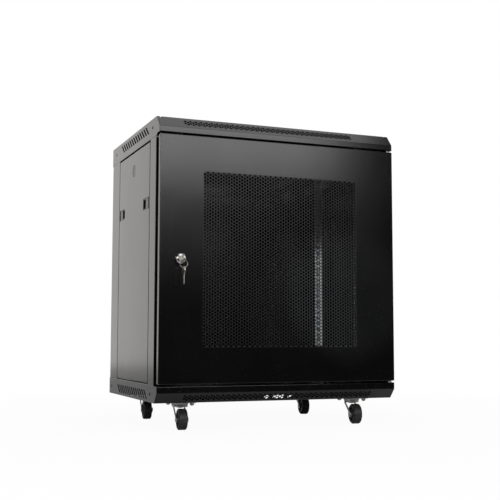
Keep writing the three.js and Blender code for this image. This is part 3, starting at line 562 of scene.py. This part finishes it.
def door_skin():
    """The tray of the door. A pattern point (u, v) folds about upright lines by its u and
    about level lines by its v; no part of the pattern is past both folds at once."""
    low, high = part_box("door_skin")
    middle = (low.z + high.z) / 2
    half_height = (high.z - low.z) / 2

    def side(reach):
        chain = [(0, low.y), (reach, low.y), (reach, high.y), (reach - DOOR_LIP, high.y)]
        return Folds(chain, DOOR_SHEET)

    across, up = side(high.x), side(half_height)

    def stations(folds):
        return folds.knots[1], folds.knots[FOLD_STEPS + 2], folds.length

    (u0, u1, u2), (v0, v1, v2) = stations(across), stations(up)
    lip_u, lip_v = u0 - (v2 - v1), v0 - (u2 - u1)
    quarter = [(u2, lip_v), (u1, v0), (u0, v0), (u0, v1), (lip_u, v2)]
    outline = list(quarter)
    outline += [(-u, v) for u, v in reversed(quarter)]
    outline += [(-u, -v) for u, v in quarter]
    outline += [(u, -v) for u, v in reversed(quarter)]
    lines = []
    for sign in (-1, 1):
        for knot in across.knots[1:-1]:
            end = np.interp(knot, [u1, u2], [v0, lip_v])
            lines.append(((sign * knot, -end), (sign * knot, end)))
        for knot in up.knots[1:-1]:
            end = np.interp(knot, [v1, v2], [u0, lip_u])
            lines.append(((-end, sign * knot), (end, sign * knot)))
    rows = int((MESH_HIGH - MESH_LOW - 2 * MESH_HOLE) / (MESH_PITCH / 2)) + 1
    flange = up.length_to(1, HINGE_Y, after=v0, before=v1)
    holes = [staggered(-MESH_HALF, MESH_HALF, (MESH_LOW + MESH_HIGH) / 2 - middle, rows,
                       MESH_PITCH, MESH_HOLE, 12),
             one_hole(LOCK_X, LOCK_Z - middle, ring_of(BARREL_HOLE, 32)),
             one_hole(HINGE_X, flange, ring_of(PIN_HOLE, 20)),
             one_hole(HINGE_X, -flange, ring_of(PIN_HOLE, 20))]
    lines += field_edge(holes[0], FIELD_MARGIN)
    points, triangles, beaded = flat_pattern(outline, lines, holes)
    u, v = points.T
    (x, y_side), (nx, ny_side) = across.at(np.abs(u))
    (z, y_up), (nz, ny_up) = up.at(np.abs(v))
    outer = np.column_stack([np.sign(u) * x, y_side + y_up - low.y, middle + np.sign(v) * z])
    inward = np.column_stack([np.sign(u) * nx, ny_side * ny_up, np.sign(v) * nz])
    made = thickened(outer, outer + DOOR_SHEET * inward, triangles)
    return new_piece("door_sheet", *made, "door", SLOT_OF["door_skin"], ["door_skin"],
                     attribute=("beaded", np.tile(beaded, 2)))


door_skin()

# %% [markdown]
# The rest of the cabinet's shapes are right as the frame has them, but a real edge is
# never a perfect line. A copy of each node gets its edges rounded: a folded edge takes
# the brake's radius, and a cut or moulded edge only a touch. In a sheet a cut edge
# borders a face no wider than the sheet, which is how the two kinds are told apart.

# %% Rounded copies
FOLD_RADIUS = 1.9 * MM
CUT_SHARE, HOLLOW_SHARE = 0.12, 0.2


def rounded(node, radius, thickness=None, segments=2):
    """A copy of a node with bevelled edges. With a thickness, edges between two faces that
    are both broader than it are folds and take the whole radius."""
    mesh = frame["nodes"][node].data.copy()
    shape = bmesh.new()
    shape.from_mesh(mesh)
    bmesh.ops.remove_doubles(shape, verts=shape.verts, dist=1e-6)
    bmesh.ops.dissolve_limit(shape, angle_limit=math.radians(0.5), verts=shape.verts, edges=shape.edges)
    weight = shape.edges.layers.float.new("bevel_weight_edge")
    breadth = {face: 2 * face.calc_area() / max(sum(e.calc_length() for e in face.edges), 1e-9)
               for face in shape.faces}
    for edge in shape.edges:
        if len(edge.link_faces) == 2 and edge.calc_face_angle(0) > math.radians(28):
            fold = thickness and min(breadth[face] for face in edge.link_faces) > 1.5 * thickness
            edge[weight] = 1.0 if not thickness else (
                (1.0 if edge.is_convex else HOLLOW_SHARE) if fold else CUT_SHARE)
    shape.to_mesh(mesh)
    shape.free()
    piece = bpy.data.objects.new(f"{node}.rounded", mesh)
    scene.collection.objects.link(piece)
    bevel = piece.modifiers.new("edges", "BEVEL")
    bevel.width, bevel.segments = radius, segments
    bevel.limit_method = "WEIGHT"
    return finish_piece(piece, BODY_OF[node], SLOT_OF[node], [node])


FOLDED = ["roof_panel", "roof_cable_cover", "roof_rear_beam", "base_floor", "base_rear_beam",
          "rear_panel", "hinge_pin_guide"]
PAIRED = ["roof_side", "base_side", "post_front", "post_rear", "brace_lower", "brace_upper",
          "rail_front", "rail_rear", "door_stiffener", "side_panel"]
for node in FOLDED + [f"{name}_{side}" for name in PAIRED for side in ("left", "right")]:
    rounded(node, FOLD_RADIUS, SHEET)
MOULDED = ["latch_front_left", "latch_front_right", "latch_rear_left", "latch_rear_right",
           "panel_blank_left", "panel_blank_right"]
for node in MOULDED:
    rounded(node, 0.5 * MM)
for node in ["lock_key", "spare_key", "lock_cam", "lock_plug", "hinge_pin_top", "hinge_pin_bottom"]:
    rounded(node, 0.25 * MM)
CORNERS = [f"{end}_{side}" for end in ("front", "rear") for side in ("left", "right")]
CASTER_EDGES = {"fork": 0.6 * MM, "plate": 0.4 * MM, "axle": 0.3 * MM}
for corner in CORNERS:
    for part, radius in CASTER_EDGES.items():
        rounded(f"caster_{corner}_{part}", radius)

# %% [markdown]
# Screws, the lock's case and the wheels are turned shapes. A lathe would cut them, or
# a die would cast them, from one half outline. The outline is a ring of (radius, height)
# corners, each eased into a short curve, and whole arrays turn it about Z at once.

# %% Turned shapes


def eased(corners, radius, steps=3):
    """Rounds a ring of corners. Corner c becomes (1-t)^2 a + 2t(1-t) c + t^2 b, with a and b
    one radius away from c along its two sides. Corners on the axis stay sharp."""
    c = np.asarray(corners, float)
    ends = []
    for shift in (1, -1):
        side = np.roll(c, shift, 0) - c
        reach = np.minimum(radius / np.linalg.norm(side, axis=1), 0.4) * (c[:, 0] > 0)
        ends.append((c + side * reach[:, None])[:, None])
    t = np.linspace(0, 1, steps + 1)[None, :, None]
    curve = (1 - t) ** 2 * ends[0] + 2 * t * (1 - t) * c[:, None] + t ** 2 * ends[1]
    return curve.reshape(-1, 2)


def grid_faces(rows, columns):
    """Quads of a grid whose columns, and rows, join up end to end."""
    index = np.arange(rows * columns).reshape(rows, columns)
    right, down = np.roll(index, -1, 1), np.roll(index, -1, 0)
    return np.stack([index, right, np.roll(right, -1, 0), down], -1).reshape(-1, 4)


def turned(profile, corners, place, axis=(0, 0, 1)):
    """Points x = r cos a, y = r sin a, z = h of a ring of (r, h) turned about Z, then stood
    along an axis at a place."""
    r, h = np.asarray(profile).T
    a = (np.arange(corners) + 0.5)[:, None] / corners * 2 * np.pi
    points = np.stack([r * np.cos(a), r * np.sin(a), h + 0 * a], -1).reshape(-1, 3)
    stand = np.array(Vector(axis).to_track_quat("Z", "Y").to_matrix())
    return points @ stand.T + np.array(place), grid_faces(corners, len(r))


def several(shapes):
    """Joins (points, faces) pairs into one pair of arrays."""
    starts = np.cumsum([0] + [len(points) for points, _ in shapes[:-1]])
    faces = [faces + start for (_, faces), start in zip(shapes, starts)]
    return np.vstack([points for points, _ in shapes]), np.vstack(faces).tolist()


print("a square ring, eased:", len(eased([(1, 0), (2, 0), (2, 1), (1, 1)], 0.2)), "points")


# %% [markdown]
# The lock's case is a chromed dome with a flat lip round the keyhole. The keys hang on
# a split ring: two turns of spring wire pressed together, with one step across where one
# turn passes over to the other.

# %% Lock case and split ring
LOCK_RIM, LOCK_BORE, LOCK_DOME, LOCK_BODY = 12.5 * MM, 6.3 * MM, 8.5 * MM, 9.2 * MM
LOCK_LIP, DOME_FOOT = 1.5 * MM, 1.5 * MM
WIRE_TURNS, WIRE_STEPS, WIRE_CORNERS = 2, 144, 10


def lock_case():
    """The dome is a quarter ellipse: r = lip + (rim - lip) cos t, h = foot + (dome - foot) sin t."""
    t = np.linspace(0, np.pi / 2, 14)
    lip = LOCK_BORE + LOCK_LIP
    dome = np.column_stack([lip + (LOCK_RIM - lip) * np.cos(t),
                            DOME_FOOT + (LOCK_DOME - DOME_FOOT) * np.sin(t)])
    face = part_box("door_skin")[0].y
    back = face - barrel_high.y
    tail = [(LOCK_BORE, back), (LOCK_BODY, back), (LOCK_BODY, AIR), (LOCK_RIM, AIR)]
    profile = np.vstack([tail, dome, [(LOCK_BORE, LOCK_DOME)]])
    made = turned(profile, 72, (LOCK_X, face, LOCK_Z), (0, -1, 0))
    new_piece("lock_case", *several([made]), "door", "lock_chrome", ["lock_barrel"], crease=40)


def split_ring():
    """Wire along (R cos t, step(t), R sin t) for two turns; its round section is squashed."""
    low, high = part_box("key_ring")
    middle, wire = (low + high) / 2, (high.y - low.y) / 4
    radius = (high.z - low.z) / 2 - wire * 1.6
    t = np.linspace(0, WIRE_TURNS * 2 * np.pi, WIRE_STEPS)
    over = np.clip((t / (2 * np.pi) - 0.95) / 0.1, 0, 1)
    step = (over * over * (3 - 2 * over) * 2 - 1) * wire
    section = ring_of(1.0, WIRE_CORNERS) * np.array([1.6 * wire, 0.97 * wire])
    out = radius + section[None, :, 0]
    points = np.stack([out * np.cos(t)[:, None], step[:, None] + section[None, :, 1],
                       out * np.sin(t)[:, None]], -1).reshape(-1, 3) + np.array(middle)
    tube = grid_faces(WIRE_STEPS, WIRE_CORNERS)[:-WIRE_CORNERS].tolist()
    ends = [list(range(WIRE_CORNERS)), list(range(len(points) - WIRE_CORNERS, len(points)))]
    new_piece("split_ring", points, tube + ends, BODY_OF["key_ring"], "key_steel", ["key_ring"])


lock_case()
split_ring()

# %% [markdown]
# Black socket screws hold the roof and the base to the posts. Their heads sit inside the
# holes of the outer sheet, so that a side shows only round black spots. Each caster's plate
# is held by four hexagon bolts. The wheels are moulded, with a rolled tread that has its own wear.

# %% Screws, bolts and wheels
SCREW_HEAD, SCREW_SUNK, SCREW_DEPTH, SOCKET = 3.8 * MM, 1.7 * MM, 4.2 * MM, 1.6 * MM
ROOF_SCREWS = [(-149.85 * MM, 692 * MM), (202.15 * MM, 692 * MM)]
BASE_SCREWS = [(-149.85 * MM, 81.5 * MM), (220.15 * MM, 81.5 * MM)]
BOLT_INSET, BOLT_HEAD, BOLT_DROP = 8 * MM, 5.2 * MM, 4.6 * MM
BOLT_TIP, TIP_DROP, PLATE = 2.9 * MM, 1.6 * MM, 2.5 * MM
WHEEL_RIM, HALF_TREAD, WHEEL_CORNERS = 24 * MM, 10.5 * MM, 72
WHEEL_SIDE = [(3.3 * MM, 1), (8 * MM, 1), (9 * MM, 0.7), (15.5 * MM, 0.66), (17 * MM, 1),
              (21.6 * MM, 0.97), (WHEEL_RIM, 0.74)]


def frame_screws():
    """A turned head with a socket, sunk below the outer face, at each of eight holes."""
    head = eased([(0, -SCREW_DEPTH), (SCREW_HEAD, -SCREW_DEPTH), (SCREW_HEAD, -SCREW_SUNK - 0.5 * MM),
                  (SCREW_HEAD * 0.8, -SCREW_SUNK), (SOCKET, -SCREW_SUNK),
                  (SOCKET, -SCREW_DEPTH + 0.9 * MM), (0, -SCREW_DEPTH + 0.9 * MM)], 0.3 * MM)
    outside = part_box("roof_side_right")[1].x
    shapes = [turned(head, 24, (side * outside, y, z), (side, 0, 0))
              for y, z in ROOF_SCREWS + BASE_SCREWS for side in (-1, 1)]
    new_piece("frame_screws", *several(shapes), "frame", "black_powder_coat")


def caster_bolts():
    """A six-sided head and a round tip under each corner of each caster plate."""
    shapes = []
    for corner in CORNERS:
        low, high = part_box(f"caster_{corner}_plate")
        under = high.z - PLATE
        head = eased([(0, -BOLT_DROP), (BOLT_HEAD, -BOLT_DROP), (BOLT_HEAD, 0), (0, 0)], 0.5 * MM)
        tip = eased([(0, -TIP_DROP - BOLT_DROP), (BOLT_TIP, -TIP_DROP - BOLT_DROP),
                     (BOLT_TIP, -BOLT_DROP), (0, -BOLT_DROP)], 0.5 * MM)
        for x in (low.x + BOLT_INSET, high.x - BOLT_INSET):
            for y in (low.y + BOLT_INSET, high.y - BOLT_INSET):
                shapes += [turned(head, 6, (x, y, under)), turned(tip, 14, (x, y, under))]
    new_piece("caster_bolts", *several(shapes), "frame", "zinc_plate", crease=25)


def caster_wheels():
    """One wheel on each rolling joint. WHEEL_SIDE gives each radius with its share of the half
    width, and points within 0.4 mm of the rim are the tread."""
    joints = {joint["name"]: joint for joint in frame["record"]["behaviour"]["joints"]}
    ring = [(r, -h * HALF_TREAD) for r, h in WHEEL_SIDE]
    ring += [(r, h * HALF_TREAD) for r, h in reversed(WHEEL_SIDE)]
    profile = eased(ring, 1.1 * MM, 4)
    worn = np.tile(profile[:, 0] > WHEEL_RIM - 0.4 * MM, WHEEL_CORNERS)
    for corner in CORNERS:
        joint = joints[f"wheel_{corner}"]
        made = turned(profile, WHEEL_CORNERS, joint["pos_m"], joint["axis"])
        new_piece(f"wheel_{corner}", *several([made]), f"wheel_{corner}", "caster_tread",
                  [f"caster_{corner}_wheel"], attribute=("tread", worn))


frame_screws()
caster_bolts()
caster_wheels()

# %% [markdown]
# The studio: a pale floor that goes on past the view, a dim room, and large soft lights
# behind the left side, above the front and overhead. A lamp with a snoot shines through
# the door's mesh onto the rear right rail. To the camera itself the room is white. The
# floor in front is dim to anything but the camera, like a black flag laid before
# a product shot, so that the glossy door keeps its dark lower half.

# %% Studio
ROOM_LIGHT = (0.022, 0.022, 0.022, 1)
WHITE = (1, 1, 1, 1)
FLOOR_HALF, FADE_FROM, FADE_TO, FADE_START = 8.0, 0.4, 1.6, 0.95
FLAG_FROM, FLAG_TO = -0.25, -0.7


def shown_to_camera(tree, shown, hidden):
    """Mixes two shaders: the first for what the camera sees, the second for all other rays."""
    mix, path = tree.nodes.new("ShaderNodeMixShader"), tree.nodes.new("ShaderNodeLightPath")
    tree.links.new(path.outputs["Is Camera Ray"], mix.inputs[0])
    tree.links.new(hidden.outputs[0], mix.inputs[1])
    tree.links.new(shown.outputs[0], mix.inputs[2])
    return mix


def studio_world():
    world = bpy.data.worlds.new("room")
    scene.world = world
    world.use_nodes = True
    tree = world.node_tree
    shown, hidden = tree.nodes["Background"], tree.nodes.new("ShaderNodeBackground")
    shown.inputs["Color"].default_value = WHITE
    hidden.inputs["Color"].default_value = ROOM_LIGHT
    mix = shown_to_camera(tree, shown, hidden)
    tree.links.new(mix.outputs[0], tree.nodes["World Output"].inputs[0])


def softbox(name, place, target, size, radiance, colour=(1, 1, 1)):
    """A rectangular light of even radiance: its power is radiance times pi times its area."""
    light = bpy.data.lights.new(name, "AREA")
    light.shape = "RECTANGLE"
    light.size, light.size_y = size
    light.energy = radiance * math.pi * size[0] * size[1]
    light.color = colour
    aim(name, light, place, target)


def spot(name, place, target, watts, degrees, colour):
    """A lamp with a snoot: a narrow cone with a soft edge."""
    light = bpy.data.lights.new(name, "SPOT")
    light.energy, light.color = watts, colour
    light.spot_size, light.spot_blend = math.radians(degrees), 0.35
    light.shadow_soft_size = 0.03
    aim(name, light, place, target)


def aim(name, light, place, target):
    lamp = bpy.data.objects.new(name, light)
    lamp.location = place
    lamp.rotation_mode = "QUATERNION"
    lamp.rotation_quaternion = (Vector(target) - Vector(place)).to_track_quat("-Z", "Y")
    lamp.visible_camera = False
    scene.collection.objects.link(lamp)


def floor():
    """A pale floor that fades to white away from the cabinet, and in front of it is dim to
    reflections."""
    mesh = bpy.data.meshes.new("floor")
    corners = [(FLOOR_HALF * x, FLOOR_HALF * y, 0) for x, y in ((-1, -1), (1, -1), (1, 1), (-1, 1))]
    mesh.from_pydata(corners, [], [(0, 1, 2, 3)])
    plane = bpy.data.objects.new("floor", mesh)
    scene.collection.objects.link(plane)
    pale = Finish("pale floor", {"Base Color": (0.9, 0.9, 0.9, 1), "Roughness": 0.7})
    tree = pale.tree
    away = pale.node("ShaderNodeVectorMath", {"operation": "LENGTH"}, {0: pale.place()}, "Value")
    far = pale.ramp(away, FADE_FROM, FADE_TO, FADE_START)
    depth = pale.node("ShaderNodeSeparateXYZ", inputs={0: pale.place()}, output="Y")
    flagged = pale.ramp(depth, FLAG_FROM, FLAG_TO)
    glow, flag = tree.nodes.new("ShaderNodeEmission"), tree.nodes.new("ShaderNodeBsdfDiffuse")
    glow.inputs["Color"].default_value = WHITE
    shade = pale.tint(flagged, (0.85, 0.85, 0.85, 1), (0.02, 0.02, 0.02, 1))
    tree.links.new(shade.socket, flag.inputs["Color"])
    fade = tree.nodes.new("ShaderNodeMixShader")
    tree.links.new(far.socket, fade.inputs[0])
    tree.links.new(pale.shader.outputs[0], fade.inputs[1])
    tree.links.new(glow.outputs[0], fade.inputs[2])
    mix = shown_to_camera(tree, fade, flag)
    tree.links.new(mix.outputs[0], tree.nodes["Material Output"].inputs[0])
    mesh.materials.append(pale.material)


studio_world()
floor()
softbox("left wall", (-0.8, 3.0, 1.05), (-0.3, 0, 0.4), (1.4, 2.1), 1.14, (1.0, 0.985, 0.96))
softbox("front top", (0.78, -3.3, 1.74), (0, -0.2, 0.55), (1.8, 1.2), 4.4)
softbox("front middle", (0.9, -3.3, 0.95), (0, -0.2, 0.4), (1.8, 0.4), 0.35)
spot("rail lamp", (-0.5, -3.3, 0.55), (0.235, 0.09, 0.29), 420, 6.0, (0.90, 0.96, 1.0))
softbox("left front", (-1.4, -3.4, 1.3), (0.1, 0, 0.35), (0.4, 0.4), 45.0)
softbox("left fill", (-3.0, -1.5, 1.3), (0, 0, 0.4), (1.6, 1.6), 2.6)
softbox("right fill", (3.0, -0.6, 1.2), (0, 0, 0.4), (1.4, 1.6), 2.0)
softbox("overhead", (0, 0.2, 3.0), (0, 0.1, 0), (3.0, 3.0), 1.6)
print("lights", [light.name for light in bpy.data.lights])
